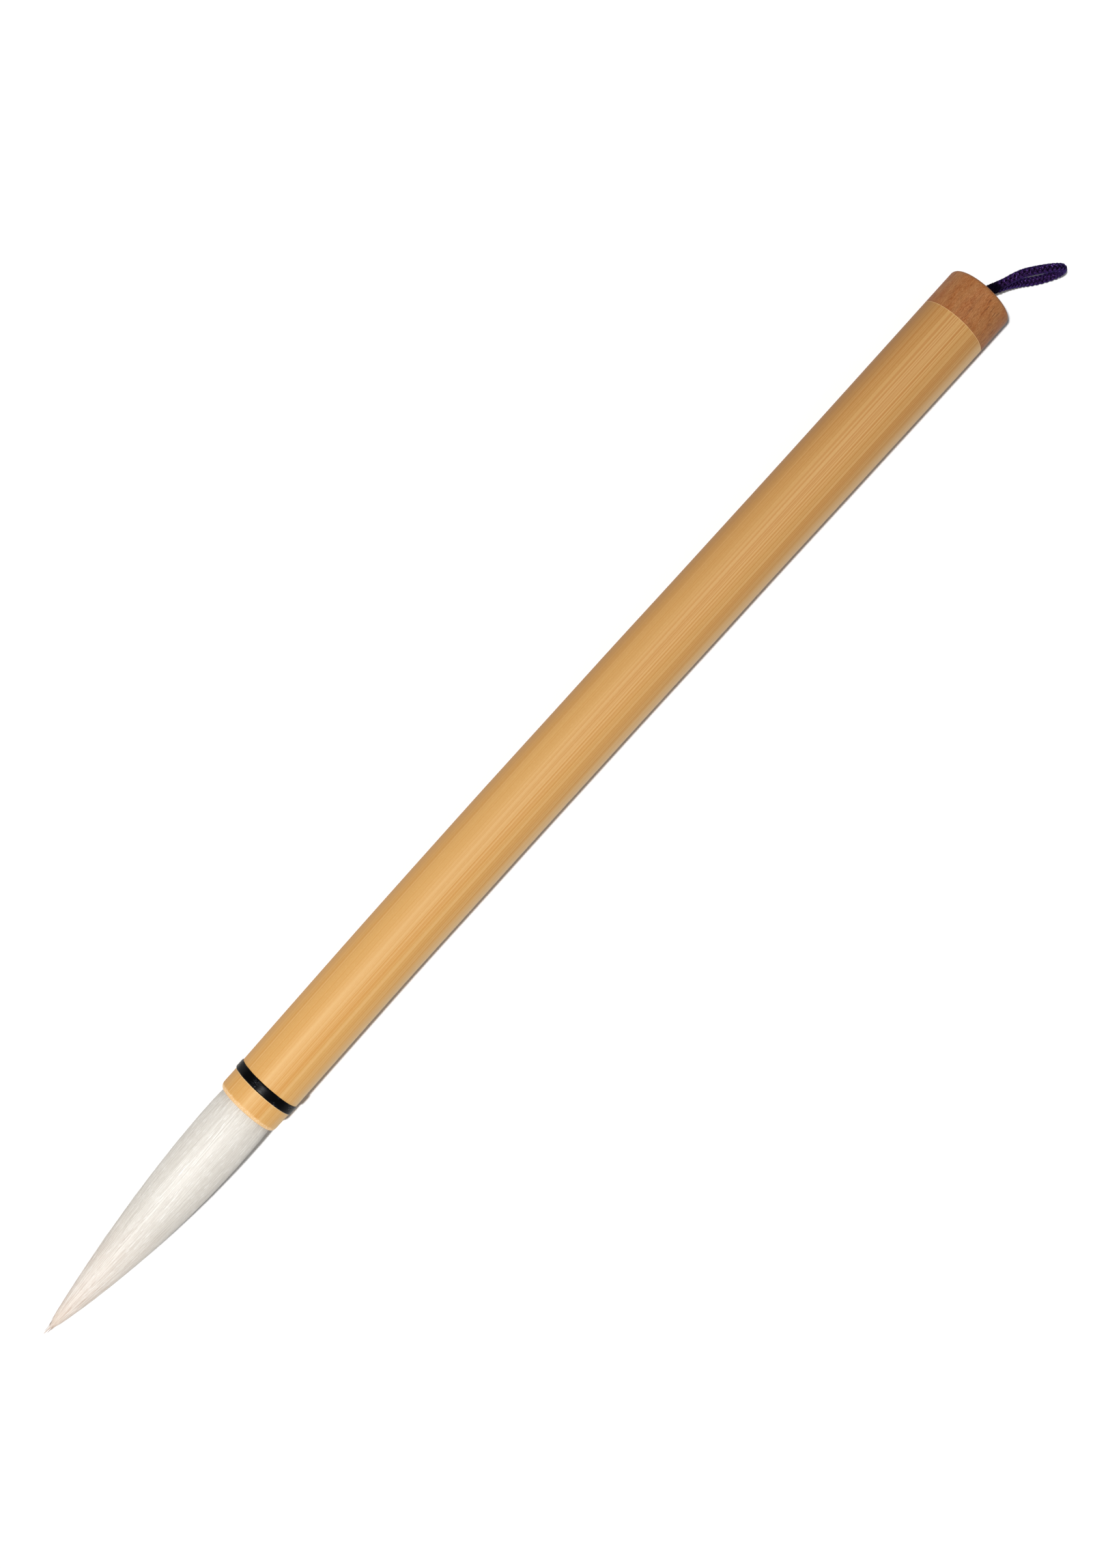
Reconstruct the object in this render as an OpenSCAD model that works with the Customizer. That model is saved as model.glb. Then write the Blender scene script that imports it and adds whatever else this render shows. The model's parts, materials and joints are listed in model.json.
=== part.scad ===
// Large calligraphy brush: bamboo handle, bound and glued hair tuft, wooden end cap, hanging cord.
// It lies along X with the point of the hair at -X, and it rests on z = 0. Millimetres.

/* [Overall] */
// Length from the point of the hair to the end of the cap
total_len = 246; // [236:1:256]
// Length of the hair outside the mouth
hair_len = 53.4; // [48:0.2:60]

/* [Handle] */
// Diameter of the handle at the cap, and of the cap
cap_d = 13; // [12.9:0.1:14]
// Diameter of the straight stretch that the fingers hold
grip_d = 12.66; // [12.5:0.02:12.8]
// Length of the straight stretch
grip_len = 70; // [40:5:80]
// Diameter of the handle beside the band
throat_d = 12.4; // [12.3:0.05:12.5]
// Diameter of the mouth, between the band and the hair
mouth_d = 12.32; // [12.2:0.02:12.4]
// Length of the mouth
mouth_len = 4.3; // [3.5:0.1:6]
// Radius of the rounding on the mouth's lip
lip_round = 0.7; // [0.3:0.1:0.7]
// Diameter of the natural bore of the bamboo
bore_d = 8.4; // [7.4:0.2:9]

/* [Band] */
// Width of the black band
band_w = 1.8; // [1.2:0.1:2.6]
// Outer diameter of the black band
band_d = 12.76; // [12.6:0.02:12.9]
// Depth of the groove that holds the band
groove_depth = 0.3; // [0.2:0.05:0.5]

/* [Mouth socket] */
// Diameter of the socket that the root of the hair is glued in
socket_d = 10.8; // [10.6:0.1:10.8]
// Depth of the socket
socket_depth = 16; // [12:1:20]
// Thickness of the glue around the root
glue_t = 0.15; // [0.1:0.05:0.2]

/* [Hair] */
// Greatest diameter of the hair
hair_d = 11.04; // [10.9:0.02:11.2]
// Thickness of the cover hair around the core
cover_t = 0.5; // [0.3:0.1:0.7]
// Turns of thread around the root
thread_turns = 5; // [3:1:6]
// Thickness of the thread
thread_d = 0.5; // [0.4:0.1:0.6]
// Thickness of the seared seal on the end of the root
seal_t = 1; // [0.5:0.5:2]

/* [Bend of the tuft] */
// Distance from the lip to the middle of the bend
bend_from_lip = 10; // [9:0.5:14]
// Largest bend each way, in degrees
bend_limit = 40; // [20:5:45]

/* [End cap] */
// Length of the cap outside the handle
cap_len = 7.5; // [6:0.5:12]
// Rounding of the cap's edge
cap_round = 0.8; // [0.2:0.05:1]
// Length of the cap's tenon in the bore
tenon_len = 12; // [8:1:16]
// Diameter of the hole for the cord
cord_hole_d = 4.2; // [4:0.1:4.8]
// Width of the flare at the mouth of the cord hole
hole_flare = 0.8; // [0.5:0.1:1]

/* [Cord] */
// Diameter of the braided cord
cord_d = 1.7; // [1.4:0.1:1.7]
// Diameter of the knot behind the cap
knot_d = 6.6; // [6:0.2:7]
// Length of the knot
knot_len = 5.4; // [4:0.2:7]

/* [Hidden] */
$fn = 96;

// Heights and stations along X
axis_z = cap_d / 2;
tip_x = -total_len / 2;
lip_x = tip_x + hair_len;
band_x = lip_x + mouth_len;
tube_x = band_x + band_w;
end_x = total_len / 2;
seam_x = end_x - cap_len;
grip_end_x = seam_x - (seam_x - tube_x - grip_len) * 0.42;
grip_start_x = grip_end_x - grip_len;
socket_x = lip_x + socket_depth;
seal_x = socket_x - seal_t;
tenon_x = seam_x - tenon_len;

// Root of the hair in the socket
root_r = socket_d / 2 - glue_t;
root_core_r = root_r - cover_t;
thread_len = thread_turns * thread_d;
thread_x = seal_x - thread_len;
thread_arc_steps = 6;

// Outline of the hair. t runs from 0 at the point to 1 at the lip.
hair_full_t = 0.9;
hair_roundness = 0.82;
cover_end_t = 0.1;
cover_full_t = 0.3;
throat_end_t = 0.3;
bend_t = 1 - bend_from_lip / hair_len;

// Bend joint: a ball on the moving hair turns in a cup in the fixed hair
bend_x = lip_x - bend_from_lip;
fit_gap = 0.08;
ball_lip = 0.05;
neck_r = hair_r(bend_t);
ball_r = neck_r + ball_lip;
cup_r = ball_r + fit_gap;
rim_clear = 0.1;
cut_margin = 0.5;

// Cord: the strands inside the hole stop this far in, clear of the loop, which swings
tails_end_in = 1.8;
strand_rise = 0.88;
cord_sides = 8;
cut_end_len = 5;

// Route of the loop, from the mouth of the cord hole: [out, across, up]
loop_route = [[-1, 0, 0.88], [0.2, 0, 0.88], [1.38, -0.3, 0.95], [2.75, -0.95, 1.05], [4.2, -1.6, 1.2],
    [5.75, -2.15, 1.35], [7.38, -2.9, 1.5], [9.13, -4.12, 1.6], [10.9, -5.45, 1.35], [12.25, -6.5, 0.75],
    [13.2, -7.27, -0.4], [13.53, -7.62, -2.05], [13.11, -7.42, -3.65], [12.08, -6.77, -4.85],
    [10.63, -5.8, -5.4], [9.1, -4.68, -5.2], [7.72, -3.65, -4.5], [6.32, -2.8, -3.55],
    [4.8, -1.98, -2.4], [3.28, -1.3, -1.55], [1.8, -0.5, -1], [0.4, -0.05, -0.88], [-1, 0, -0.88]];
// The loop lies close to one upright plane, and this is the direction across that plane
loop_side = [0.6, 0.8, 0];

// Colours
bamboo_colour = "#DDB06C";
wood_colour = "#A87244";
band_colour = "#141414";
cord_colour = "#3A2363";
cover_colour = "#F2EEE4";
core_colour = "#E6DDCB";
thread_colour = "#CDBB96";
glue_colour = "#C9A866";
seal_colour = "#5A3E26";

// Radius of the hair at t
function hair_r(t) = t <= hair_full_t
    ? hair_d / 2 * pow(sin(90 * t / hair_full_t), hair_roundness)
    : hair_d / 2 - (hair_d / 2 - root_r) * pow((t - hair_full_t) / (1 - hair_full_t), 2);

// Radius of the core under the cover hair at t
function core_r(t) = hair_r(t)
    - cover_t * min(1, max(0, (t - cover_end_t) / (cover_full_t - cover_end_t)));

function hair_x(t) = tip_x + t * hair_len;
function span(from, to, steps) = [for (i = [0:steps]) from + (to - from) * i / steps];
function reversed(list) = [for (i = [len(list) - 1:-1:0]) list[i]];
function outer_line(stations) = [for (t = stations) [hair_r(t), hair_x(t)]];
function core_line(stations) = [for (t = stations) [core_r(t), hair_x(t)]];

// Points on an arc of radius r about [cr, cx] in a lathe outline
function arc(cr, cx, r, from, to, steps) =
    [for (a = span(from, to, steps)) [cr + r * cos(a), cx + r * sin(a)]];

// Stations along the hair, shared by the layers that touch
tip_stations = span(0, cover_end_t, 6);
throat_stations = span(cover_end_t, throat_end_t, 6);
belly_stations = span(throat_end_t, bend_t, 10);
waist_stations = span(bend_t, 1, 8);
life_r = hair_r(cover_end_t);
throat_r = core_r(throat_end_t);
ball_back_x = bend_x + ball_r + cut_margin;

// A solid turned about the brush's axis. Outline points are [radius, x].
module lathe(outline) {
    translate([0, 0, axis_z]) rotate([0, 90, 0]) rotate_extrude() polygon(outline);
}

// A ball on the middle of the bend
module bend_ball(r) {
    translate([bend_x, 0, axis_z]) sphere(r = r);
}

// Moving hair: keeps what lies in front of the bend, and the ball behind it
module moving_hair(outline) {
    difference() {
        lathe(outline);
        difference() {
            lathe([[0, bend_x], [hair_d, bend_x], [hair_d, ball_back_x + cut_margin],
                [0, ball_back_x + cut_margin]]);
            bend_ball(ball_r);
        }
    }
}

// Fixed hair: its front is a cup for the ball, with a rim that clears the full bend
module fixed_hair(outline) {
    rim_r = (neck_r + rim_clear) * cos(bend_limit);
    rim_x = bend_x + (neck_r + rim_clear) * sin(bend_limit);
    outer_r = hair_d / 2 + cut_margin;
    outer_x = rim_x - (outer_r - rim_r) / tan(bend_limit);
    difference() {
        lathe(outline);
        bend_ball(cup_r);
        lathe([[0, rim_x], [rim_r, rim_x], [outer_r, outer_x], [outer_r, bend_x - cut_margin],
            [0, bend_x - cut_margin]]);
    }
}

function unit(v) = v / norm(v);
function along(route, i) =
    unit(route[min(i + 1, len(route) - 1)] - route[max(i - 1, 0)]);

// Ring of points around one point of a cord's route
function cord_ring(route, i) =
    let (t = along(route, i), a = unit(loop_side - t * (t * loop_side)), b = cross(t, a))
    [for (k = [0:cord_sides - 1]) let (turn = 360 * k / cord_sides)
        route[i] + cord_d / 2 * (cos(turn) * a + sin(turn) * b)];

// A cord swept along a route that starts at the mouth of the cord hole
module cord_tube(route) {
    last = len(route) - 1;
    points = [for (i = [0:last]) each cord_ring(route, i)];
    sides = [for (i = [0:last - 1]) for (k = [0:cord_sides - 1])
        let (a = i * cord_sides + k, b = i * cord_sides + (k + 1) % cord_sides)
        each [[a, b, b + cord_sides], [a, b + cord_sides, a + cord_sides]]];
    start_cap = [[for (k = [cord_sides - 1:-1:0]) k]];
    end_cap = [[for (k = [0:cord_sides - 1]) last * cord_sides + k]];
    translate([end_x, 0, axis_z]) polyhedron(points, concat(sides, start_cap, end_cap));
}

// One piece of bamboo: mouth with its lip and socket, band groove, tapering tube with its bore
module bamboo_handle() {
    mouth_r = mouth_d / 2;
    groove_r = mouth_r - groove_depth;
    color(bamboo_colour) lathe(concat(
        [[socket_d / 2, lip_x]],
        arc(mouth_r - lip_round, lip_x + lip_round, lip_round, -90, 0, 6),
        [[mouth_r, band_x], [groove_r, band_x], [groove_r, tube_x], [throat_d / 2, tube_x],
            [grip_d / 2, grip_start_x], [grip_d / 2, grip_end_x], [cap_d / 2, seam_x],
            [bore_d / 2, seam_x], [bore_d / 2, socket_x], [socket_d / 2, socket_x]]));
}

// Thin black band, set in the groove and standing slightly proud of the bamboo
module black_band() {
    edge = 0.15;
    color(band_colour) lathe([[mouth_d / 2 - groove_depth, band_x], [band_d / 2 - edge, band_x],
        [band_d / 2, band_x + edge], [band_d / 2, tube_x - edge], [band_d / 2 - edge, tube_x],
        [mouth_d / 2 - groove_depth, tube_x]]);
}

// Turned wooden cap: tenon in the bore, cord hole with a flared mouth
module end_cap() {
    hole_r = cord_hole_d / 2;
    inner_edge = 0.3;
    color(wood_colour) lathe(concat(
        [[hole_r, tenon_x + inner_edge], [hole_r + inner_edge, tenon_x],
            [bore_d / 2 - inner_edge, tenon_x], [bore_d / 2, tenon_x + inner_edge],
            [bore_d / 2, seam_x], [cap_d / 2, seam_x]],
        arc(cap_d / 2 - cap_round, end_x - cap_round, cap_round, 0, 90, 6),
        [[hole_r + hole_flare, end_x], [hole_r, end_x - hole_flare]]));
}

// The loop that the brush hangs by, from just inside the cord hole and back
module cord_loop() {
    color(cord_colour) cord_tube(loop_route);
}

// The two strands through the cap, down to the knot
module cord_tails() {
    back = tenon_x - end_x;
    color(cord_colour) for (up = [-strand_rise, strand_rise])
        cord_tube([[-tails_end_in, 0, up], [back / 2, 0, up], [back, 0, up]]);
}

// Overhand knot behind the tenon, with the two cut ends
module cord_knot() {
    knot_round = 1.8;
    front_r = 2.4;
    color(cord_colour) {
        lathe(concat(
            [[0, tenon_x - knot_len]],
            arc(knot_d / 2 - knot_round, tenon_x - knot_len + knot_round, knot_round, -90, 0, 6),
            arc(knot_d / 2 - knot_round, tenon_x - knot_round, knot_round, 0, 60, 4),
            [[front_r, tenon_x], [0, tenon_x]]));
        for (up = [-strand_rise, strand_rise])
            translate([tenon_x - knot_len - cut_end_len, 0, axis_z + up])
                rotate([0, 90, 0]) cylinder(d = cord_d, h = cut_end_len + knot_round);
    }
}

// Thin bed of glue between the root of the hair and the socket
module root_glue() {
    lip_gap = 1;
    color(glue_colour) lathe([[root_r, lip_x + lip_gap], [socket_d / 2, lip_x + lip_gap],
        [socket_d / 2, socket_x], [root_r - thread_d, socket_x],
        [root_r - thread_d, seal_x], [root_r, seal_x]]);
}

// Turns of thread, pulled tight around the root so that their outside is level with it
module root_thread() {
    wound = [for (i = [0:thread_turns - 1])
        each arc(root_r - thread_d / 2, thread_x + thread_d * (i + 0.5), thread_d / 2,
            -90, 90, thread_arc_steps)];
    color(thread_colour) lathe(concat(
        [[root_r - thread_d, thread_x]], wound, [[root_r - thread_d, seal_x]]));
}

// Seared and hardened end of the root
module root_seal() {
    color(seal_colour) lathe([[0, seal_x], [root_r - thread_d, seal_x],
        [root_r - thread_d, socket_x], [0, socket_x]]);
}

// Core hair at the waist, from the bend back to the bound end of the root
module waist_hair() {
    bound_r = root_core_r - thread_d;
    color(core_colour) fixed_hair(concat(
        [[0, bend_x]], core_line(waist_stations),
        [[root_core_r, thread_x - thread_d], [bound_r, thread_x], [bound_r, seal_x],
            [0, seal_x]]));
}

// The cover hair's own root, around the waist hair
module cover_hair_root() {
    bound_r = root_core_r - thread_d;
    color(cover_colour) fixed_hair(concat(
        outer_line(waist_stations),
        [[root_r, thread_x - thread_d], [root_r - thread_d, thread_x],
            [root_r - thread_d, seal_x], [bound_r, seal_x], [bound_r, thread_x],
            [root_core_r, thread_x - thread_d]],
        reversed(core_line(waist_stations))));
}

// Cover hair: a thin coat that lies over the whole core in front of the bend
module cover_hair() {
    stations = concat(throat_stations, [for (i = [1:len(belly_stations) - 1]) belly_stations[i]]);
    inner = [for (i = [1:len(stations) - 1]) [core_r(stations[i]), hair_x(stations[i])]];
    color(cover_colour) moving_hair(concat(
        outer_line(stations),
        [[neck_r, ball_back_x], [core_r(bend_t), ball_back_x]],
        reversed(inner)));
}

// Belly hair: the short, thick layer of the core
module belly_hair() {
    color(core_colour) moving_hair(concat(
        core_line(belly_stations),
        [[core_r(bend_t), ball_back_x], [throat_r, ball_back_x]]));
}

// Throat hair: the longer layer inside the belly hair
module throat_hair() {
    color(core_colour) moving_hair(concat(
        core_line(throat_stations),
        [[throat_r, ball_back_x], [life_r, ball_back_x]]));
}

// Life hair: the longest hair, through the middle of the tuft to its point
module life_hair() {
    color(cover_colour) moving_hair(concat(
        outer_line(tip_stations), [[life_r, ball_back_x], [0, ball_back_x]]));
}

bamboo_handle();
black_band();
end_cap();
cord_loop();
cord_tails();
cord_knot();
root_glue();
root_thread();
root_seal();
waist_hair();
cover_hair_root();
cover_hair();
belly_hair();
throat_hair();
life_hair();
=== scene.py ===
"""Looks of a large calligraphy brush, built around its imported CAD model. Metres, in the CAD frame."""

import json
import math

import bpy
import numpy as np
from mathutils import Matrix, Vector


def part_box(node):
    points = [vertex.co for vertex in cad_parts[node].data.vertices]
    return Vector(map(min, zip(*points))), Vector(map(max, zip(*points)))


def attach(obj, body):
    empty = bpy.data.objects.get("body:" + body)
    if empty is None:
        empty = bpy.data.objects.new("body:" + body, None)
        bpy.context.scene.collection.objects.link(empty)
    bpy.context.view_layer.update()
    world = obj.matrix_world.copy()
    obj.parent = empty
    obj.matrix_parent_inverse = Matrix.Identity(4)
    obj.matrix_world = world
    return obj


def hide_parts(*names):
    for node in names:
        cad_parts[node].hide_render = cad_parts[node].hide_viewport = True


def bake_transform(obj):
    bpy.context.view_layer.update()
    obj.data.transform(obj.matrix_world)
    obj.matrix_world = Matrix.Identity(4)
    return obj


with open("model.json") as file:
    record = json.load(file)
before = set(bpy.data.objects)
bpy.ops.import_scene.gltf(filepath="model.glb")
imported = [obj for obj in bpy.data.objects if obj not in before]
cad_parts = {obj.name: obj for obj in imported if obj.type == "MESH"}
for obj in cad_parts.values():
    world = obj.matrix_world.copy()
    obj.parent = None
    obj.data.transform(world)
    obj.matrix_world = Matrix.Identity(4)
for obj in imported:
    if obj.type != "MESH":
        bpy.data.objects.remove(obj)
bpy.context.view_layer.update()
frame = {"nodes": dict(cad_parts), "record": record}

MM = 0.001
rng = np.random.default_rng(11)

# ---- Places, from the CAD frame ----
handle_low, handle_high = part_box("bamboo_handle")
band_low, band_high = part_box("black_band")
cap_low, cap_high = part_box("end_cap")
socket_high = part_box("root_glue")[1]
seal_low, seal_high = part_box("root_seal")
thread_low, thread_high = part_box("root_thread")
hair_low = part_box("life_hair")[0]
knot_low, knot_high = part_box("cord_knot")
grip = next(m for m in frame["record"]["mounts"] if m["name"] == "grip")

AXIS_Z = (cap_low.z + cap_high.z) / 2
TIP_X, LIP_X, SEAM_X, END_X = hair_low.x, handle_low.x, handle_high.x, cap_high.x
BAND_X, TUBE_X = band_low.x, band_high.x
TENON_X = cap_low.x
CAP_R = cap_high.z - AXIS_Z
BAND_R = band_high.z - AXIS_Z
SOCKET_R = socket_high.z - AXIS_Z
SEAL_R = seal_high.z - AXIS_Z
ROOT_R = thread_high.z - AXIS_Z
GRIP_R = grip["dims"]["r_mm"] * MM
GRIP_X0 = grip["pos_m"][0] - grip["dims"]["length_mm"] * MM / 2
GRIP_X1 = grip["pos_m"][0] + grip["dims"]["length_mm"] * MM / 2
HAIR_LEN = LIP_X - TIP_X

# ---- Sizes that the CAD model gives too, but that no box shows ----
# Radii of the tube before and behind the band, and of its bore
MOUTH_R = 6.16 * MM
THROAT_R = 6.2 * MM
BORE_R = 4.2 * MM
GROOVE_DEPTH = 0.3 * MM
LIP_ROUND, LIP_LENGTH = 0.7 * MM, 1.1 * MM
HAIR_R = 5.52 * MM
CORD_HOLE_R = 2.1 * MM
HOLE_FLARE = 0.8 * MM
# Route of the loop from the mouth of the cord hole, as in the CAD source: out, across, up, in millimetres
LOOP_ROUTE = [(-1, 0, 0.88), (0.2, 0, 0.88), (1.38, -0.3, 0.95), (2.75, -0.95, 1.05), (4.2, -1.6, 1.2),
              (5.75, -2.15, 1.35), (7.38, -2.9, 1.5), (9.13, -4.12, 1.6), (10.9, -5.45, 1.35),
              (12.25, -6.5, 0.75), (13.2, -7.27, -0.4), (13.53, -7.62, -2.05), (13.11, -7.42, -3.65),
              (12.08, -6.77, -4.85), (10.63, -5.8, -5.4), (9.1, -4.68, -5.2), (7.72, -3.65, -4.5),
              (6.32, -2.8, -3.55), (4.8, -1.98, -2.4), (3.28, -1.3, -1.55), (1.8, -0.5, -1),
              (0.4, -0.05, -0.88), (-1, 0, -0.88)]
# Where the cord meets its knot, from the mouth of the hole
TAIL_BACK = (TENON_X - END_X) / MM


# ---- Mesh helpers ----
LATHE_SIDES = 256


def make_object(name, points, faces, sharp=35):
    """A smooth-shaded mesh object with edges sharper than that many degrees kept sharp."""
    mesh = bpy.data.meshes.new(name)
    mesh.from_pydata([tuple(p) for p in points], [], [tuple(f) for f in faces])
    mesh.polygons.foreach_set("use_smooth", [True] * len(mesh.polygons))
    mesh.set_sharp_from_angle(angle=math.radians(sharp))
    mesh.update()
    obj = bpy.data.objects.new(name, mesh)
    bpy.context.scene.collection.objects.link(obj)
    return obj


def grid_faces(rows, columns, wrap_rows=False, start=0):
    """Quads between neighbouring points of a grid whose columns close on themselves."""
    i, j = np.meshgrid(np.arange(rows if wrap_rows else rows - 1), np.arange(columns), indexing="ij")
    here, right = i * columns + j, i * columns + (j + 1) % columns
    up, up_right = ((i + 1) % rows) * columns + j, ((i + 1) % rows) * columns + (j + 1) % columns
    return np.stack([here, right, up_right, up], -1).reshape(-1, 4) + start


def store(obj, name, values, kind="FLOAT"):
    """Keeps a value for each point of a mesh under that name, for its material."""
    values = np.asarray(values, np.float32)
    attribute = obj.data.attributes.new(name, kind, "POINT")
    attribute.data.foreach_set("value" if kind == "FLOAT" else "vector", values.ravel())


def lathe(name, profile, shape=None):
    """Turns closed (x, radius) points about the brush's axis. shape moves them, given x, radius and angle.
    The unmoved places are kept as "grain", so that a material's fibres follow the shape."""
    profile = np.array(profile, float)
    angles = np.linspace(0, 2 * np.pi, LATHE_SIDES, endpoint=False)
    x, angle = np.meshgrid(profile[:, 0], angles, indexing="ij")
    r = np.repeat(profile[:, 1:2], LATHE_SIDES, 1)
    grain = np.stack([x, r * np.cos(angle), AXIS_Z + r * np.sin(angle)], -1)
    if shape:
        x, r, across = shape(x, r, angle)
        points = np.stack([x, r * np.cos(angle) + across, AXIS_Z + r * np.sin(angle)], -1)
    else:
        points = grain
    faces = grid_faces(len(profile), LATHE_SIDES, wrap_rows=True).tolist()
    obj = make_object(name, points.reshape(-1, 3), faces)
    store(obj, "grain", grain.reshape(-1, 3), "FLOAT_VECTOR")
    return obj


def arc(cx, cr, radius, start, stop, steps):
    """(x, radius) points on an arc; the angle runs from outwards, 0, to +X, 90."""
    a = np.radians(np.linspace(start, stop, steps + 1))
    return list(zip(cx + radius * np.sin(a), cr + radius * np.cos(a)))


def stretch(x0, r0, x1, r1, steps):
    """(x, radius) points on a straight line."""
    return list(zip(np.linspace(x0, x1, steps + 1), np.linspace(r0, r1, steps + 1)))


def waves(values, seed, count, low, high):
    """Smooth noise from -1 to 1 of one or two inputs: sines of seeded phases, at rates from low to high."""
    local = np.random.default_rng(seed)
    total = 0.0
    for _ in range(count):
        phase = local.uniform(0, 2 * np.pi)
        rates = local.uniform(low, high, len(values)) * local.choice([-1, 1], len(values))
        total = total + np.sin(sum(rate * v for rate, v in zip(rates, values)) + phase)
    return total / count


# ---- Material helpers ----
def srgb(r, g, b):
    """A linear colour from 0-255 display values, by the sRGB curve."""
    shares = [c / 255 for c in (r, g, b)]
    return tuple(c / 12.92 if c <= 10 / 255 else ((c + 0.055) / 1.055) ** 2.4 for c in shares) + (1,)


class Material:
    """A node material on one Principled shader, with short calls for the nodes that these looks use."""

    def __init__(self, name, **sockets):
        self.data = bpy.data.materials.new(name)
        self.data.use_nodes = True
        self.tree = self.data.node_tree
        self.shader = self.tree.nodes["Principled BSDF"]
        for socket, value in sockets.items():
            self.shader.inputs[socket.replace("_", " ")].default_value = value

    def node(self, kind, inputs=(), **settings):
        made = self.tree.nodes.new("ShaderNode" + kind)
        for key, value in settings.items():
            setattr(made, key, value)
        for key, value in dict(inputs).items():
            if isinstance(value, bpy.types.NodeSocket):
                self.tree.links.new(value, made.inputs[key])
            else:
                made.inputs[key].default_value = value
        return made

    def link(self, output, socket):
        self.tree.links.new(output, self.shader.inputs[socket])

    def attribute(self, name, output="Vector"):
        return self.node("Attribute", attribute_name=name).outputs[output]

    def stretched(self, vector, scale):
        return self.node("Mapping", {"Vector": vector, "Scale": scale}).outputs[0]

    def noise(self, vector, scale=1.0, detail=2.0, roughness=0.5):
        return self.node("TexNoise", {"Vector": vector, "Scale": scale, "Detail": detail,
                                      "Roughness": roughness}).outputs["Fac"]

    def spots(self, vector):
        return self.node("TexVoronoi", {"Vector": vector, "Scale": 1.0}).outputs["Distance"]

    def span(self, value, low, high, to_low=0.0, to_high=1.0):
        """Where value is between low and high, as a place between to_low and to_high, and held there."""
        return self.node("MapRange", {"Value": value, "From Min": low, "From Max": high,
                                      "To Min": to_low, "To Max": to_high}).outputs[0]

    def math(self, operation, a, b=0.0):
        return self.node("Math", {0: a, 1: b}, operation=operation).outputs[0]

    def times(self, a, b):
        return self.math("MULTIPLY", a, b)

    def mix(self, amount, a, b):
        """Colour a where amount is 0 and colour b where it is 1."""
        return self.node("Mix", {0: amount, 6: a, 7: b}, data_type="RGBA").outputs[2]

    def along(self, vector, axis="X"):
        return self.node("SeparateXYZ", {0: vector}).outputs[axis]

    def wrapped(self, grain, radius):
        """The place along the tube, and the direction from the frame's X axis, just below the tube, as a
        place on a circle of that radius. Round the tube it changes at half the rate that it would from the
        tube's own axis, and all at once along the underside."""
        outward = self.node("VectorMath", {0: self.stretched(grain, (0, 1, 1))}, operation="NORMALIZE")
        rim = self.stretched(outward.outputs[0], (0, radius, radius))
        return self.node("VectorMath", {0: rim, 1: self.stretched(grain, (1, 0, 0))},
                         operation="ADD").outputs[0]

    def bump(self, height, strength, distance, under=None):
        """Relief on the shader, over the relief of another bump where that is given."""
        inputs = {"Height": height, "Strength": strength, "Distance": distance}
        if under is not None:
            inputs["Normal"] = under
        normal = self.node("Bump", inputs).outputs[0]
        self.link(normal, "Normal")
        return normal


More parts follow.
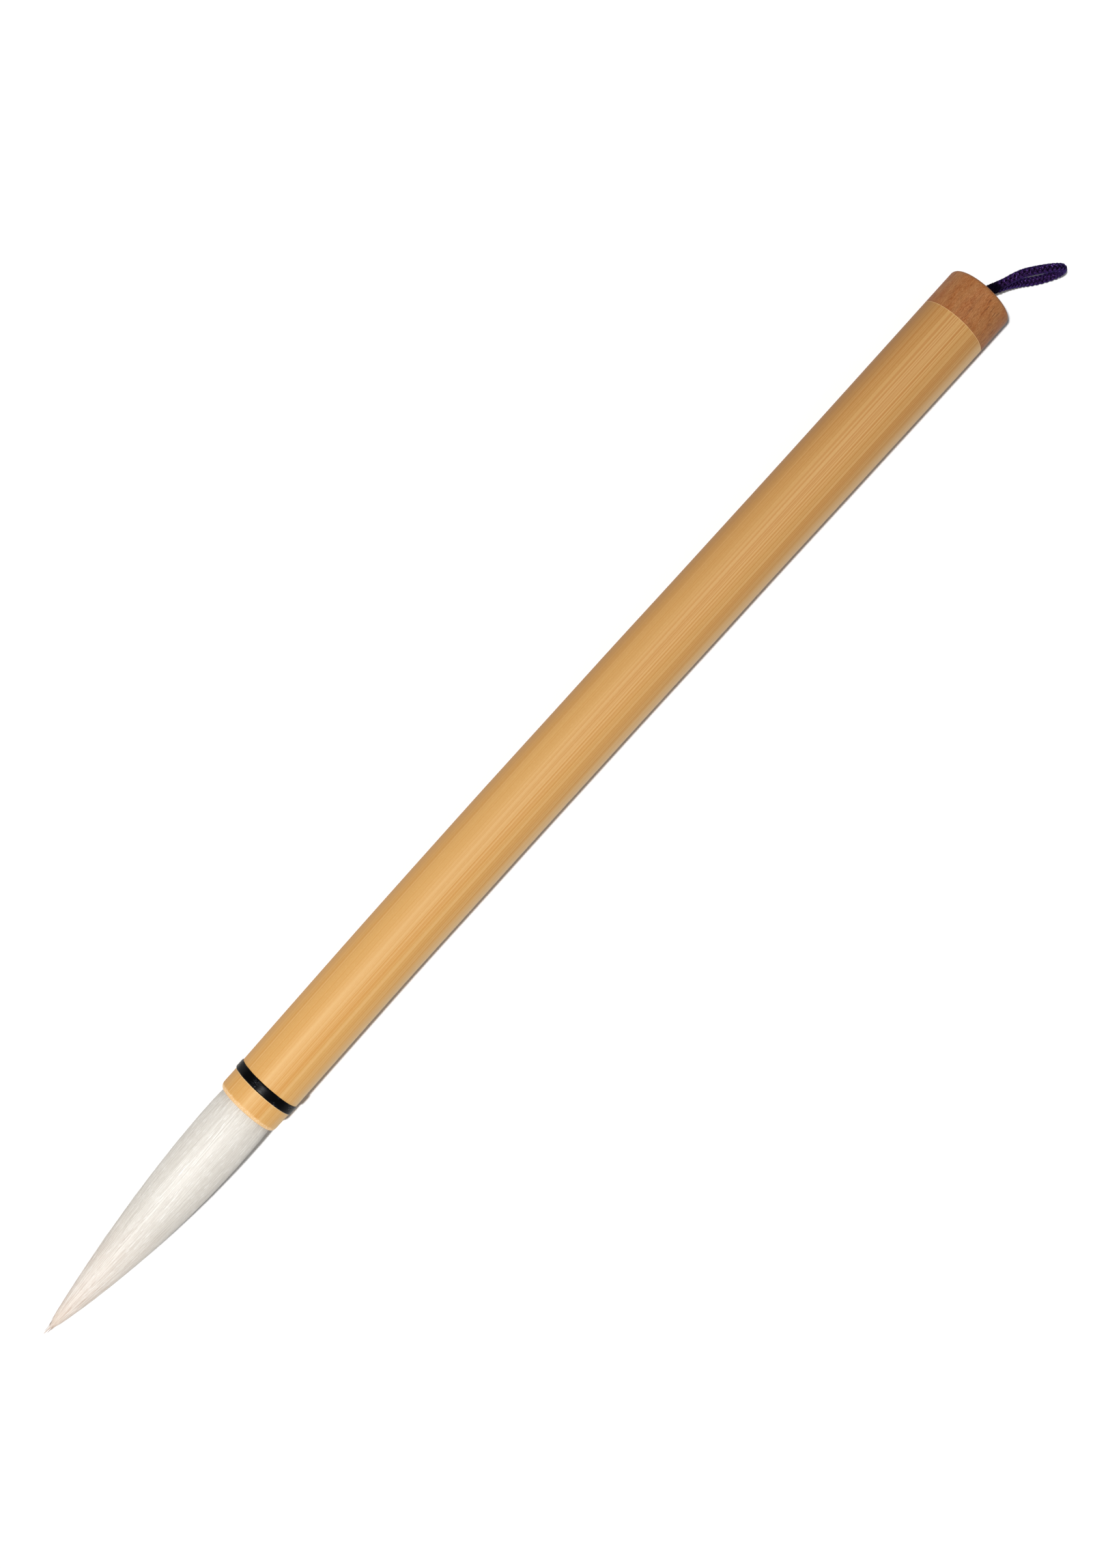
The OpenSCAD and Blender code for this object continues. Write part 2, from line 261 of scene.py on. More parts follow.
def bamboo_material():
    m = Material("bamboo", Specular_IOR_Level=0.3)
    grain = m.attribute("grain")
    x, side = m.along(grain), m.along(grain, "Y")
    toward_cap = m.span(x, LIP_X, SEAM_X)

    def fading(by_mouth, by_cap):
        """A colour that changes from one end of the tube to the other, darker toward the cap as painted shade
        where the light falls off.
        """
        return m.mix(toward_cap, srgb(*by_mouth), srgb(*by_cap))

    fibres = m.wrapped(grain, GRIP_R)
    region = m.span(m.noise(m.stretched(fibres, (5, 300, 300)), detail=1), 0.36, 0.62)
    band = m.noise(m.stretched(fibres, (6, 700, 700)), detail=2)
    fibre = m.noise(m.stretched(fibres, (40, 8000, 8000)), detail=2, roughness=0.6)
    mottle = m.noise(m.stretched(grain, (2200, 5200, 5200)), detail=1)
    wide_line = m.noise(m.stretched(fibres, (3, 4200, 4200)), detail=0)
    long_line = m.noise(m.stretched(fibres, (3, 8200, 8200)), detail=0)
    thin_line = m.noise(m.stretched(fibres, (5, 9500, 9500)), detail=0)
    deep = fading((214, 163, 94), (176, 129, 72))
    light = fading((232, 192, 132), (200, 160, 102))
    colour = m.mix(m.span(band, 0.34, 0.64), fading((222, 174, 106), (184, 140, 82)), deep)
    colour = m.mix(m.span(mottle, 0.5, 0.75, 0, 0.2), colour, light)
    colour = m.mix(m.span(fibre, 0.35, 0.7, 0, 0.35), colour, deep)
    pale_lines = m.times(m.span(wide_line, 0.43, 0.37), m.span(region, 0, 1, 0.15, 0.35))
    colour = m.mix(pale_lines, colour, light)
    strength = m.times(m.span(region, 0, 1, 0.35, 1), m.span(x, LIP_X, SEAM_X, 0.75, 1))
    lines = m.math("MAXIMUM", m.span(long_line, 0.61, 0.67, 0, 0.7), m.span(thin_line, 0.57, 0.63, 0, 0.7))
    colour = m.mix(m.times(lines, strength), colour, fading((206, 138, 58), (160, 98, 36)))
    # Painted shade darkens the side toward +Y, and a painted reflection of the pale floor lightens the side
    # toward -Y
    colour = m.mix(m.span(side, 4 * MM, 6.1 * MM, 0, 0.7), colour, fading((202, 146, 74), (150, 102, 50)))
    colour = m.mix(m.span(side, -5 * MM, -6.2 * MM, 0, 0.8), colour,
                   fading((232, 200, 150), (214, 180, 132)))
    # Painted highlights: paler lines on the edges beside the band and at the cap's seam, where they catch the
    # light
    for edge, width, amount in ((BAND_X - 0.05 * MM, 0.12 * MM, 0.7), (SEAM_X - 0.04 * MM, 0.09 * MM, 0.45)):
        off = m.math("ABSOLUTE", m.math("SUBTRACT", x, edge))
        colour = m.mix(m.span(off, width, 0.3 * width, 0, amount), colour, srgb(244, 208, 152))
    # The mouth's lip shows the cut ends of the fibres, as pale specks
    cut_edge = m.math("ADD", x, m.times(m.noise(grain, scale=1400), 0.5 * MM))
    cut = m.span(cut_edge, LIP_X + 1.1 * MM, LIP_X + 0.85 * MM)
    speck = m.spots(m.stretched(grain, (3400, 5200, 5200)))
    ends = m.mix(m.span(speck, 0.12, 0.5), srgb(244, 220, 180), srgb(228, 184, 128))
    m.link(m.mix(cut, colour, ends), "Base Color")
    relief = m.math("SUBTRACT", fibre, m.times(lines, 0.5))
    m.bump(relief, 0.2, 0.03 * MM, under=m.bump(speck, m.times(cut, 0.4), 0.05 * MM))
    m.link(m.span(band, 0.3, 0.7, 0.54, 0.66), "Roughness")
    return m.data


def cap_material():
    m = Material("cap_wood", Roughness=0.6, Specular_IOR_Level=0.16)
    grain = m.attribute("grain")
    tone = m.noise(m.stretched(grain, (260, 700, 700)), detail=2)
    streak = m.noise(m.stretched(grain, (700, 4200, 4200)), detail=4, roughness=0.7)
    fibre = m.noise(m.stretched(grain, (2400, 9000, 9000)), detail=3, roughness=0.7)
    pore = m.noise(m.stretched(grain, (620, 6500, 6500)), detail=1)
    fleck = m.noise(m.stretched(grain, (2600, 9000, 9000)), detail=1)
    colour = m.mix(m.span(tone, 0.38, 0.62), srgb(150, 99, 57), srgb(142, 82, 40))
    colour = m.mix(m.span(streak, 0.48, 0.68, 0, 0.6), colour, srgb(118, 70, 36))
    colour = m.mix(m.span(streak, 0.46, 0.34, 0, 0.5), colour, srgb(172, 118, 70))
    colour = m.mix(m.span(fibre, 0.45, 0.7, 0, 0.7), colour, srgb(180, 126, 80))
    colour = m.mix(m.span(fleck, 0.66, 0.74, 0, 0.4), colour, srgb(196, 150, 108))
    # Open pores, most of them on one side
    side = m.span(m.along(grain, "Y"), 2 * MM, -6 * MM, 0.25, 1)
    pores = m.times(m.span(pore, 0.635, 0.67), side)
    colour = m.mix(m.times(pores, 0.8), colour, srgb(84, 48, 30))
    m.link(colour, "Base Color")
    m.bump(m.math("SUBTRACT", fibre, m.times(pores, 0.6)), 0.45, 0.04 * MM)
    m.link(m.span(fibre, 0.3, 0.7, 0.5, 0.62), "Roughness")
    return m.data


def band_material():
    m = Material("band_black", Specular_IOR_Level=0.05)
    grain = m.attribute("grain")
    scratch = m.noise(m.stretched(grain, (6500, 2200, 2200)), detail=3, roughness=0.7)
    speck = m.noise(grain, scale=4200, detail=1)
    patch = m.noise(grain, scale=300, detail=1)
    # Handled most on top and down one side
    top = m.span(m.math("ABSOLUTE", m.math("ADD", m.along(grain, "Y"), 0.6 * MM)), 3.4 * MM, 0.8 * MM)
    side = m.span(m.along(grain, "Y"), -3.6 * MM, -5.8 * MM)
    handled = m.math("ADD", m.times(top, 0.9), m.times(side, 0.45))
    place = m.times(handled, m.span(patch, 0.4, 0.55))
    worn = m.times(m.span(scratch, 0.52, 0.66), place)
    colour = m.mix(worn, srgb(7, 7, 8), srgb(110, 114, 124))
    m.link(m.mix(m.times(m.span(speck, 0.64, 0.7), place), colour, srgb(170, 170, 180)),
           "Base Color")
    m.link(m.span(worn, 0, 1, 0.3, 0.6), "Roughness")
    m.bump(scratch, 0.25, 0.04 * MM)
    return m.data


def cord_material():
    m = Material("cord_purple", Metallic=0.85, Specular_Tint=(0.25, 0.15, 0.5, 1))
    yarn = m.attribute("yarn")
    filament = m.node("TexWave", {"Vector": yarn, "Scale": 1.0, "Distortion": 0.6, "Detail": 1.0},
                      wave_type="BANDS", bands_direction="X").outputs["Fac"]
    tone = m.noise(m.stretched(yarn, (0.4, 3, 1)), detail=2)
    colour = m.mix(m.span(tone, 0.3, 0.7), srgb(48, 26, 72), srgb(98, 66, 140))
    colour = m.mix(m.times(filament, 0.4), colour, srgb(10, 5, 20))
    # Painted shade down the sides of each yarn and where it passes under another, so that only the crowns
    # keep the brighter colour, as painted highlights
    colour = m.mix(m.span(m.attribute("crown", "Fac"), 0.85, 0.2), colour, srgb(8, 4, 14))
    # Painted shadow of the cap over the cord's first few millimetres out of it, which is also made rougher
    # there
    painted_cap_shade = m.span(m.attribute("out", "Fac"), 3.8, 2.6)
    m.link(m.mix(painted_cap_shade, colour, srgb(12, 7, 22)), "Base Color")
    m.link(m.span(painted_cap_shade, 0, 1, 0.2, 0.6), "Roughness")
    m.bump(filament, 0.5, 0.03 * MM)
    return m.data


def hair_material(name, root, tip, shade, glint):
    """Hair that is one colour at the mouth and another at the point. tone is each strand's own shade of
    colour, darker where the hair lies deeper as painted shade, and strand runs along each in millimetres, for
    painted highlights: flecks where a hair catches the light."""
    m = Material(name, Roughness=0.42, Specular_IOR_Level=0.4)
    tone = m.attribute("tone", "Fac")
    t = m.attribute("along", "Fac")
    strand = m.attribute("strand")
    colour = m.mix(m.span(t, 0.05, 0.5), tip, root)
    colour = m.mix(m.times(tone, m.span(t, 0.0, 0.7, 0.9, 0.55)), colour,
                   m.mix(m.span(t, 0.1, 0.6), srgb(*shade[0]), srgb(*shade[1])))
    # Painted highlights: pale flecks along the strands where they would catch the light
    dash = m.noise(m.stretched(strand, (0.45, 1, 1)), detail=1)
    colour = m.mix(m.span(dash, 0.58, 0.7, 0, 0.6), colour, glint)
    m.link(colour, "Base Color")
    m.link(m.span(tone, 0, 1, 0.36, 0.5), "Roughness")
    return m.data


def thread_material():
    m = Material("thread", Roughness=0.6, Sheen_Weight=0.2)
    grain = m.attribute("grain")
    ply = m.noise(m.stretched(grain, (2500, 900, 900)), detail=3)
    m.link(m.mix(m.span(ply, 0.35, 0.7), srgb(206, 186, 146), srgb(150, 124, 82)), "Base Color")
    m.bump(ply, 0.5, 0.05 * MM)
    return m.data


def glue_material():
    m = Material("glue", Roughness=0.2, IOR=1.5, Coat_Weight=0.3)
    spot = m.noise(m.node("TexCoord").outputs["Object"], scale=900, detail=3)
    m.link(m.mix(m.span(spot, 0.3, 0.7), srgb(206, 168, 96), srgb(170, 124, 56)), "Base Color")
    m.bump(spot, 0.4, 0.05 * MM)
    return m.data


def sear_material():
    m = Material("sear", Roughness=0.75)
    spot = m.noise(m.node("TexCoord").outputs["Object"], scale=2200, detail=4)
    m.link(m.mix(m.span(spot, 0.35, 0.65), srgb(60, 40, 24), srgb(120, 84, 48)), "Base Color")
    m.bump(spot, 0.7, 0.1 * MM)
    return m.data


def floor_material():
    m = Material("floor", Roughness=0.8, Specular_IOR_Level=0.2)
    cloud = m.noise(m.node("TexCoord").outputs["Object"], scale=6, detail=2)
    m.link(m.mix(m.span(cloud, 0.3, 0.7), (0.87, 0.87, 0.87, 1), (0.89, 0.89, 0.89, 1)), "Base Color")
    return m.data


# ---- Camera ----
# CAMERA_HEIGHT is above the brush's axis; the shifts move the picture so that the brush lies in it as framed
CAMERA_TURN = -47.9
CAMERA_HEIGHT = 413 * MM
CAMERA_X = -4.8 * MM
LENS, SENSOR = 53.96, 36.0
SHIFT_X, SHIFT_Y = 0.0384, 0.0325


def add_camera():
    """Straight above the brush, turned so that the hair points to the lower left."""
    data = bpy.data.cameras.new("camera")
    data.sensor_width, data.lens = SENSOR, LENS
    data.shift_x, data.shift_y = SHIFT_X, SHIFT_Y
    data.clip_start, data.clip_end = 0.01, 10
    camera = bpy.data.objects.new("camera", data)
    bpy.context.scene.collection.objects.link(camera)
    camera.location = (CAMERA_X, 0, AXIS_Z + CAMERA_HEIGHT)
    camera.rotation_euler = (0, 0, math.radians(CAMERA_TURN))
    bpy.context.scene.camera = camera


# ---- Cord ----
# Half of the yarns turn one way and half the other, once in BRAID_TURN, weaving in and out of BRAID_MID_R
STRANDS_EACH_WAY = 4
BRAID_TURN = 3.5 * MM
BRAID_MID_R = 0.57 * MM
BRAID_WEAVE = 0.12 * MM
YARN_WIDTH, YARN_THICK = 0.66 * MM, 0.3 * MM
YARN_SIDES = 8
CORD_STEP = 0.09 * MM
# Points worked out between each two given points of a path
PATH_FINENESS = 40


def smooth_path(points, step):
    """Evenly spaced points on a centripetal Catmull-Rom curve through the given points."""
    p = np.array(points, float)
    p = np.vstack([2 * p[0] - p[1], p, 2 * p[-1] - p[-2]])
    knots = np.concatenate([[0], np.cumsum(np.linalg.norm(np.diff(p, axis=0), axis=1) ** 0.5)])
    out = []
    for i in range(1, len(p) - 2):
        k0, k1, k2, k3 = knots[i - 1:i + 3]
        t = np.linspace(k1, k2, PATH_FINENESS, endpoint=False)[:, None]
        a1 = (k1 - t) / (k1 - k0) * p[i - 1] + (t - k0) / (k1 - k0) * p[i]
        a2 = (k2 - t) / (k2 - k1) * p[i] + (t - k1) / (k2 - k1) * p[i + 1]
        a3 = (k3 - t) / (k3 - k2) * p[i + 1] + (t - k2) / (k3 - k2) * p[i + 2]
        b1 = (k2 - t) / (k2 - k0) * a1 + (t - k0) / (k2 - k0) * a2
        b2 = (k3 - t) / (k3 - k1) * a2 + (t - k1) / (k3 - k1) * a3
        out.append((k2 - t) / (k2 - k1) * b1 + (t - k1) / (k2 - k1) * b2)
    line = np.vstack(out + [p[-2:-1]])
    run = np.concatenate([[0], np.cumsum(np.linalg.norm(np.diff(line, axis=0), axis=1))])
    at = np.linspace(0, run[-1], max(2, int(round(run[-1] / step)) + 1))
    return np.stack([np.interp(at, run, line[:, k]) for k in range(3)], -1), at


def unit(v):
    return v / np.maximum(np.linalg.norm(v, axis=-1, keepdims=True), 1e-12)


def carried_frame(line):
    """Two directions square to a line, carried along it without twist."""
    tangent = unit(np.gradient(line, axis=0))
    side = np.zeros_like(line)
    side[0] = unit(np.cross(tangent[0], (0.3, 0.2, 0.9)))
    for i in range(1, len(line)):
        side[i] = unit(side[i - 1] - tangent[i] * np.dot(side[i - 1], tangent[i]))
    return side, np.cross(tangent, side)


def braid(name, line, at):
    """A round braid of eight yarns along a line, each passing over one and under the next. For its material
    it keeps "yarn", the place on a yarn, "out", millimetres out of the cap, for painted shade near it, and
    "crown", 1 where a yarn is uppermost and 0 where it is under another, for painted shade between yarns."""
    side, other = carried_frame(line)
    ring = np.linspace(0, 2 * np.pi, YARN_SIDES, endpoint=False)
    points, faces, yarn_places, crowns = [], [], [], []
    for way in (1, -1):
        for k in range(STRANDS_EACH_WAY):
            turn = way * 2 * np.pi * at / BRAID_TURN + 2 * np.pi * k / STRANDS_EACH_WAY
            over = way * np.cos(4 * turn)
            out = np.cos(turn)[:, None] * side + np.sin(turn)[:, None] * other
            centre = line + (BRAID_MID_R + BRAID_WEAVE * over)[:, None] * out
            run = unit(np.gradient(centre, axis=0))
            out = unit(out - run * (out * run).sum(1)[:, None])
            across = np.cross(run, out)
            section = (YARN_THICK / 2 * np.cos(ring)[None, :, None] * out[:, None]
                       + YARN_WIDTH / 2 * np.sin(ring)[None, :, None] * across[:, None])
            start = sum(len(p) for p in points)
            points.append((centre[:, None] + section).reshape(-1, 3))
            faces += grid_faces(len(line), YARN_SIDES, start=start).tolist()
            faces += [[start + s for s in range(YARN_SIDES)][::-1],
                      [start + (len(line) - 1) * YARN_SIDES + s for s in range(YARN_SIDES)]]
            place = np.stack(np.broadcast_arrays(np.sin(ring)[None] * 6 + at[:, None] / MM * 1.6,
                                                 at[:, None] / MM, k + 4.0 * way), -1)
            yarn_places.append(place.reshape(-1, 3))
            crowns.append(((0.5 + 0.5 * over)[:, None] * np.maximum(np.cos(ring), 0)).ravel())
    points = np.vstack(points)
    obj = make_object(name, points, faces, sharp=180)
    store(obj, "yarn", np.vstack(yarn_places), "FLOAT_VECTOR")
    store(obj, "out", (points[:, 0] - END_X) / MM)
    store(obj, "crown", np.concatenate(crowns))
    return obj


def from_hole(points):
    """Points given from the mouth of the cord hole in millimetres, in the frame."""
    return np.array(points, float) * MM + (END_X, 0, AXIS_Z)


def add_cord(material):
    """The hanging cord from the knot, out of the cap, round the loop and back to the knot."""
    rise = LOOP_ROUTE[0][2]
    route = ([(TAIL_BACK, 0, rise), (TAIL_BACK / 2, 0, rise)] + LOOP_ROUTE
             + [(TAIL_BACK / 2, 0, -rise), (TAIL_BACK, 0, -rise)])
    line, at = smooth_path(from_hole(route), CORD_STEP)
    cord = braid("hanging_cord", line, at)
    cord.data.materials.append(material)
    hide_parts("cord_loop", "cord_tails")
    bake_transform(cord)


def add_knot(material):
    """Knot behind the cap's tenon, and the two cut ends that stand out of it."""
    s = np.linspace(0, 2 * np.pi, 400)
    reach, depth, length = 0.78 * MM, 1.55 * MM, 5.4 * MM
    middle = (knot_high.x + TENON_X - length) / 2
    tied = np.stack([middle - depth * np.sin(3 * s), reach * (np.sin(s) + 2 * np.sin(2 * s)),
                     AXIS_Z + reach * (np.cos(s) - 2 * np.cos(2 * s))], -1)
    ends = [[(middle - depth * reached, way * side * MM, AXIS_Z + way * up * MM)
             for reached, side, up in ((0.2, 0.75, 0.2), (1.2, 0.95, 0.3), (2.2, 1.1, 0.35))]
            + [(knot_low.x + 0.1 * MM, way * 1.25 * MM, AXIS_Z + way * 0.45 * MM)] for way in (1, -1)]
    tied_run = np.concatenate([[0], np.cumsum(np.linalg.norm(np.diff(tied, axis=0), axis=1))])
    lines = [(tied, tied_run)] + [smooth_path(points, CORD_STEP) for points in ends]
    for number, (line, run) in enumerate(lines):
        piece = braid(f"cord_knot_{number}", line, run)
        piece.data.materials.append(material)
        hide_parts("cord_knot")
        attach(piece, "handle")


# ---- Handle ----
# The tube bows sideways by BOW. BOW_PEAK is the highest that u (1 - u)^2 gets
BOW = 0.45 * MM
BOW_PEAK = 4 / 27
UNEVEN, RIPPLE = 0.03 * MM, 0.006 * MM
# How far a sharp edge is eased, and the rounding of the band's and the cap's edges
EASE = 0.05 * MM
BAND_EDGE, CAP_EDGE = 0.22 * MM, 0.8 * MM
GROOVE_R = MOUTH_R - GROOVE_DEPTH


def handle_shape(x, r, angle):
    """The slight natural bow and unevenness of the bamboo between the band and the cap."""
    u = np.clip((x - TUBE_X) / (SEAM_X - TUBE_X), 0, 1)
    bow = BOW * u * (1 - u) ** 2 / BOW_PEAK
    away_from_ends = np.minimum(1, 8 * u * (1 - u))
    uneven = waves((angle, x * 60), seed=3, count=6, low=1, high=4)
    relief = UNEVEN * uneven + RIPPLE * np.sin(9 * angle + 1.1)
    outside = r > (BORE_R + SOCKET_R) / 2
    return x, r + np.where(outside, away_from_ends * relief, 0), bow


def add_handle(material):
    profile = (
        [(LIP_X + 0.5 * MM, SOCKET_R), (LIP_X + 0.06 * MM, SOCKET_R + 0.01 * MM)]
        + [(LIP_X + LIP_LENGTH * (1 - math.cos(a)), MOUTH_R - LIP_ROUND * (1 - math.sin(a)))
           for a in np.radians(np.linspace(0, 90, 15))]
        + stretch(LIP_X + 1.5 * MM, MOUTH_R, BAND_X - 0.06 * MM, MOUTH_R, 4)
        + [(BAND_X, MOUTH_R - EASE), (BAND_X, GROOVE_R), (TUBE_X, GROOVE_R), (TUBE_X, THROAT_R - EASE)]
        + stretch(TUBE_X + 0.06 * MM, THROAT_R, GRIP_X0, GRIP_R, 30)
        + stretch(GRIP_X0 + 2 * MM, GRIP_R, GRIP_X1, GRIP_R, 30)
        + stretch(GRIP_X1 + 2 * MM, GRIP_R + (CAP_R - GRIP_R) * 2 * MM / (SEAM_X - GRIP_X1),
                  SEAM_X - EASE, CAP_R, 20)
        + [(SEAM_X, CAP_R - EASE), (SEAM_X, BORE_R)]
        + stretch(SEAM_X - 2 * MM, BORE_R, socket_high.x, BORE_R, 20)
        + [(socket_high.x, SOCKET_R)]
        + stretch(socket_high.x - 1 * MM, SOCKET_R, LIP_X + 2 * MM, SOCKET_R, 6))
    tube = lathe("bamboo_tube", profile, handle_shape)
    tube.data.materials.append(material)
    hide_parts("bamboo_handle")
    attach(tube, "handle")


def band_shape(x, r, angle):
    """Edges that wander a little, as on a band that was set by hand."""
    edge = np.sign(x - (BAND_X + TUBE_X) / 2)
    wander = np.where(r > BAND_R - 0.3 * MM, waves((angle,), seed=5, count=7, low=2, high=14) * MM, 0)
    return x + 0.045 * edge * wander, r + 0.015 * wander, 0 * x


def add_band(material):
    profile = ([(BAND_X, GROOVE_R)] + arc(BAND_X + BAND_EDGE, BAND_R - BAND_EDGE, BAND_EDGE, -90, 0, 6)
               + stretch(BAND_X + 0.5 * MM, BAND_R, TUBE_X - 0.5 * MM, BAND_R, 4)
               + arc(TUBE_X - BAND_EDGE, BAND_R - BAND_EDGE, BAND_EDGE, 0, 90, 6) + [(TUBE_X, GROOVE_R)])
    band = lathe("black_band_set", profile, band_shape)
    band.data.materials.append(material)
    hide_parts("black_band")
    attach(band, "handle")


def add_cap(material):
    face_r = CORD_HOLE_R + HOLE_FLARE
    profile = (
        [(TENON_X + 0.3 * MM, CORD_HOLE_R), (TENON_X, CORD_HOLE_R + 0.3 * MM), (TENON_X, BORE_R - 0.3 * MM)]
        + stretch(TENON_X + 0.3 * MM, BORE_R, SEAM_X, BORE_R, 6)
        + [(SEAM_X, CAP_R - 0.06 * MM)]
        + stretch(SEAM_X + 0.06 * MM, CAP_R, END_X - CAP_EDGE - 0.3 * MM, CAP_R, 14)
        + arc(END_X - CAP_EDGE, CAP_R - CAP_EDGE, CAP_EDGE, 0, 86, 10)
        + stretch(END_X - 0.02 * MM, CAP_R - 1.2 * MM, END_X, face_r + 0.3 * MM, 5)
        + [(END_X - HOLE_FLARE * (1 - math.cos(a)), face_r - HOLE_FLARE * math.sin(a))
           for a in np.radians((0, 20, 40, 60, 80, 90))]
        + stretch(END_X - 2 * MM, CORD_HOLE_R, TENON_X + 1 * MM, CORD_HOLE_R, 6))
    cap = lathe("wooden_cap", profile)
    cap.data.materials.append(material)
    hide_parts("end_cap")
    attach(cap, "handle")


# ---- Hair ----
# The tuft is fullest at FULL_T of the way from the point to the mouth, and a lower ROUNDNESS makes it blunter
FULL_T, ROUNDNESS = 0.9, 0.82
# LEAN is how far the tuft's middle bows to one side, and TIP_LEAN how far its point lies over
LEAN, TIP_LEAN = 0.34 * MM, 0.1 * MM
# HAIR_W is half of a strand's width. The grooved body of hair lies BODY_UNDER and more below the surface
HAIR_W = 0.06 * MM
BODY_UNDER, CLUMP_DEPTH = 0.04 * MM, 0.02 * MM
BODY_SIDES = 420
COVER_COUNT, COVER_RINGS = 2350, 14
LIFE_COUNT, LIFE_RINGS = 420, 15
FLYAWAY_COUNT = 36
# The wisps at the point: how far along the tuft each ends, and how far across and up, in millimetres
WISPS = [(0.0, 0.04, 0.02), (0.009, 0.28, 0.1), (0.011, -0.29, -0.12), (0.028, -0.44, 0.1),
         (0.034, 0.46, -0.06), (0.02, 0.06, 0.32), (0.024, -0.08, -0.34)]


def hair_radius(t):
    """Radius of the tuft at t, which is 0 at the point and 1 at the mouth."""
    swell = HAIR_R * np.sin(np.pi / 2 * np.clip(t / FULL_T, 0, 1)) ** ROUNDNESS
    neck = (HAIR_R - ROOT_R) * np.clip((t - FULL_T) / (1 - FULL_T), 0, 1) ** 2
    return swell - neck


def tuft_lean(t):
    """How far the tuft's middle lies to the side, across the brush."""
    return -LEAN * np.sin(np.pi * np.clip(t, 0, 1) ** 0.8) - TIP_LEAN * np.clip(1 - t, 0, 1)


def tuft_place(t, angle, depth):
    """The place at t along the tuft and at an angle round it, that deep under its surface."""
    r = np.maximum(hair_radius(t) - depth, 0)
    return np.stack([TIP_X + t * HAIR_LEN, tuft_lean(t) + r * np.cos(angle), AXIS_Z + r * np.sin(angle)], -1)


def add_strands(name, places, angle, width, tone, along):
    """Thin three-sided hairs, flat against the tuft. places is (hairs, rings, 3), and width, tone and along
    have a value for each hair's ring: half of its width, its shade, and where it is on the tuft."""
    count, rings = places.shape[:2]
    out = np.stack([0 * angle, np.cos(angle), np.sin(angle)], -1)
    across = np.stack([0 * angle, -np.sin(angle), np.cos(angle)], -1)
    # A flat ribbon with a low ridge
    corners = [0.3 * out, across - 0.15 * out, -across - 0.15 * out]
    points = np.stack([places + width[..., None] * c for c in corners], 2).reshape(-1, 3)
    one = grid_faces(rings, 3)
    starts = np.arange(count)[:, None, None] * rings * 3
    faces = (one[None] + starts).reshape(-1, 4).tolist()
    for first in (np.arange(count) * rings * 3).tolist():
        last = first + (rings - 1) * 3
        faces += [[first + 2, first + 1, first], [last, last + 1, last + 2]]
    obj = make_object(name, points, faces, sharp=90)
    run = np.stack([along * HAIR_LEN / MM, np.arange(count)[:, None] * 3.7 + 0 * along, 0 * along], -1)
    store(obj, "tone", np.repeat(tone.ravel(), 3))
    store(obj, "along", np.repeat(along.ravel(), 3))
    store(obj, "strand", np.repeat(run.reshape(-1, 3), 3, axis=0), "FLOAT_VECTOR")
    return obj


def clump(angle, t):
    """Smooth -1 to 1 pattern of clumps of hair that run along the tuft."""
    return waves((angle, t * 5), seed=21, count=9, low=6, high=46)


def bend_with_tuft(obj):
    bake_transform(obj)


def add_hair_body(material):
    """The dense mass of hair under the strands, with grooves between its clumps, and its bound root."""
    t = np.concatenate([np.linspace(0.012, 0.2, 30, endpoint=False), np.linspace(0.2, 1, 60)])
    angle = np.linspace(0, 2 * np.pi, BODY_SIDES, endpoint=False)
    tt, aa = np.meshgrid(t, angle, indexing="ij")
    groove = clump(aa, tt) + 0.6 * np.sin(97 * aa + 9 * tt)
    taper = np.clip((tt - 0.02) * 6, 0, 1)
    points = tuft_place(tt, aa, (BODY_UNDER - CLUMP_DEPTH * groove) * taper + CLUMP_DEPTH)
    middle = np.stack([TIP_X + tt * HAIR_LEN, tuft_lean(tt), AXIS_Z + 0 * tt], -1)
    narrow = np.clip((tt - 0.006) / 0.06, 0.02, 1)[..., None]
    points = middle + (points - middle) * narrow
    core_r = ROOT_R - 0.02 * MM
    root = [(LIP_X + 2 * MM, core_r), (thread_low.x - 0.6 * MM, core_r),
            (thread_low.x - 0.1 * MM, SEAL_R), (seal_low.x, SEAL_R)]
    rings = [np.stack([np.full(BODY_SIDES, x), r * np.cos(angle), AXIS_Z + r * np.sin(angle)], -1)
             for x, r in root]
    points = np.concatenate([points, rings])
    rows, at_root = len(points), (len(root), BODY_SIDES)
    faces = grid_faces(rows, BODY_SIDES).tolist()
    faces += [list(range(BODY_SIDES))[::-1], [(rows - 1) * BODY_SIDES + k for k in range(BODY_SIDES)]]
    body = make_object("hair_body", points.reshape(-1, 3), faces, sharp=180)
    # The tone is darker down in the grooves between clumps, as painted shade
    store(body, "tone", np.concatenate([np.clip(0.4 - 0.5 * groove, 0, 1), np.full(at_root, 0.5)]))
    store(body, "along", np.concatenate([tt, np.ones(at_root)]))
    run = (points[..., 0] - TIP_X) / MM
    store(body, "strand", np.stack([run, 0 * run + angle * 70, 0 * run], -1).reshape(-1, 3), "FLOAT_VECTOR")
    body.data.materials.append(material)
    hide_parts("belly_hair", "throat_hair", "waist_hair")
    bend_with_tuft(body)


def end_places(count, longest):
    """Where along the tuft hairs end, so that they cover it evenly as it narrows."""
    samples = np.linspace(longest, 0.86, 400)
    share = hair_radius(samples) / hair_radius(samples[-1])
    return np.interp(rng.uniform(share[0], 1, count), share, samples)


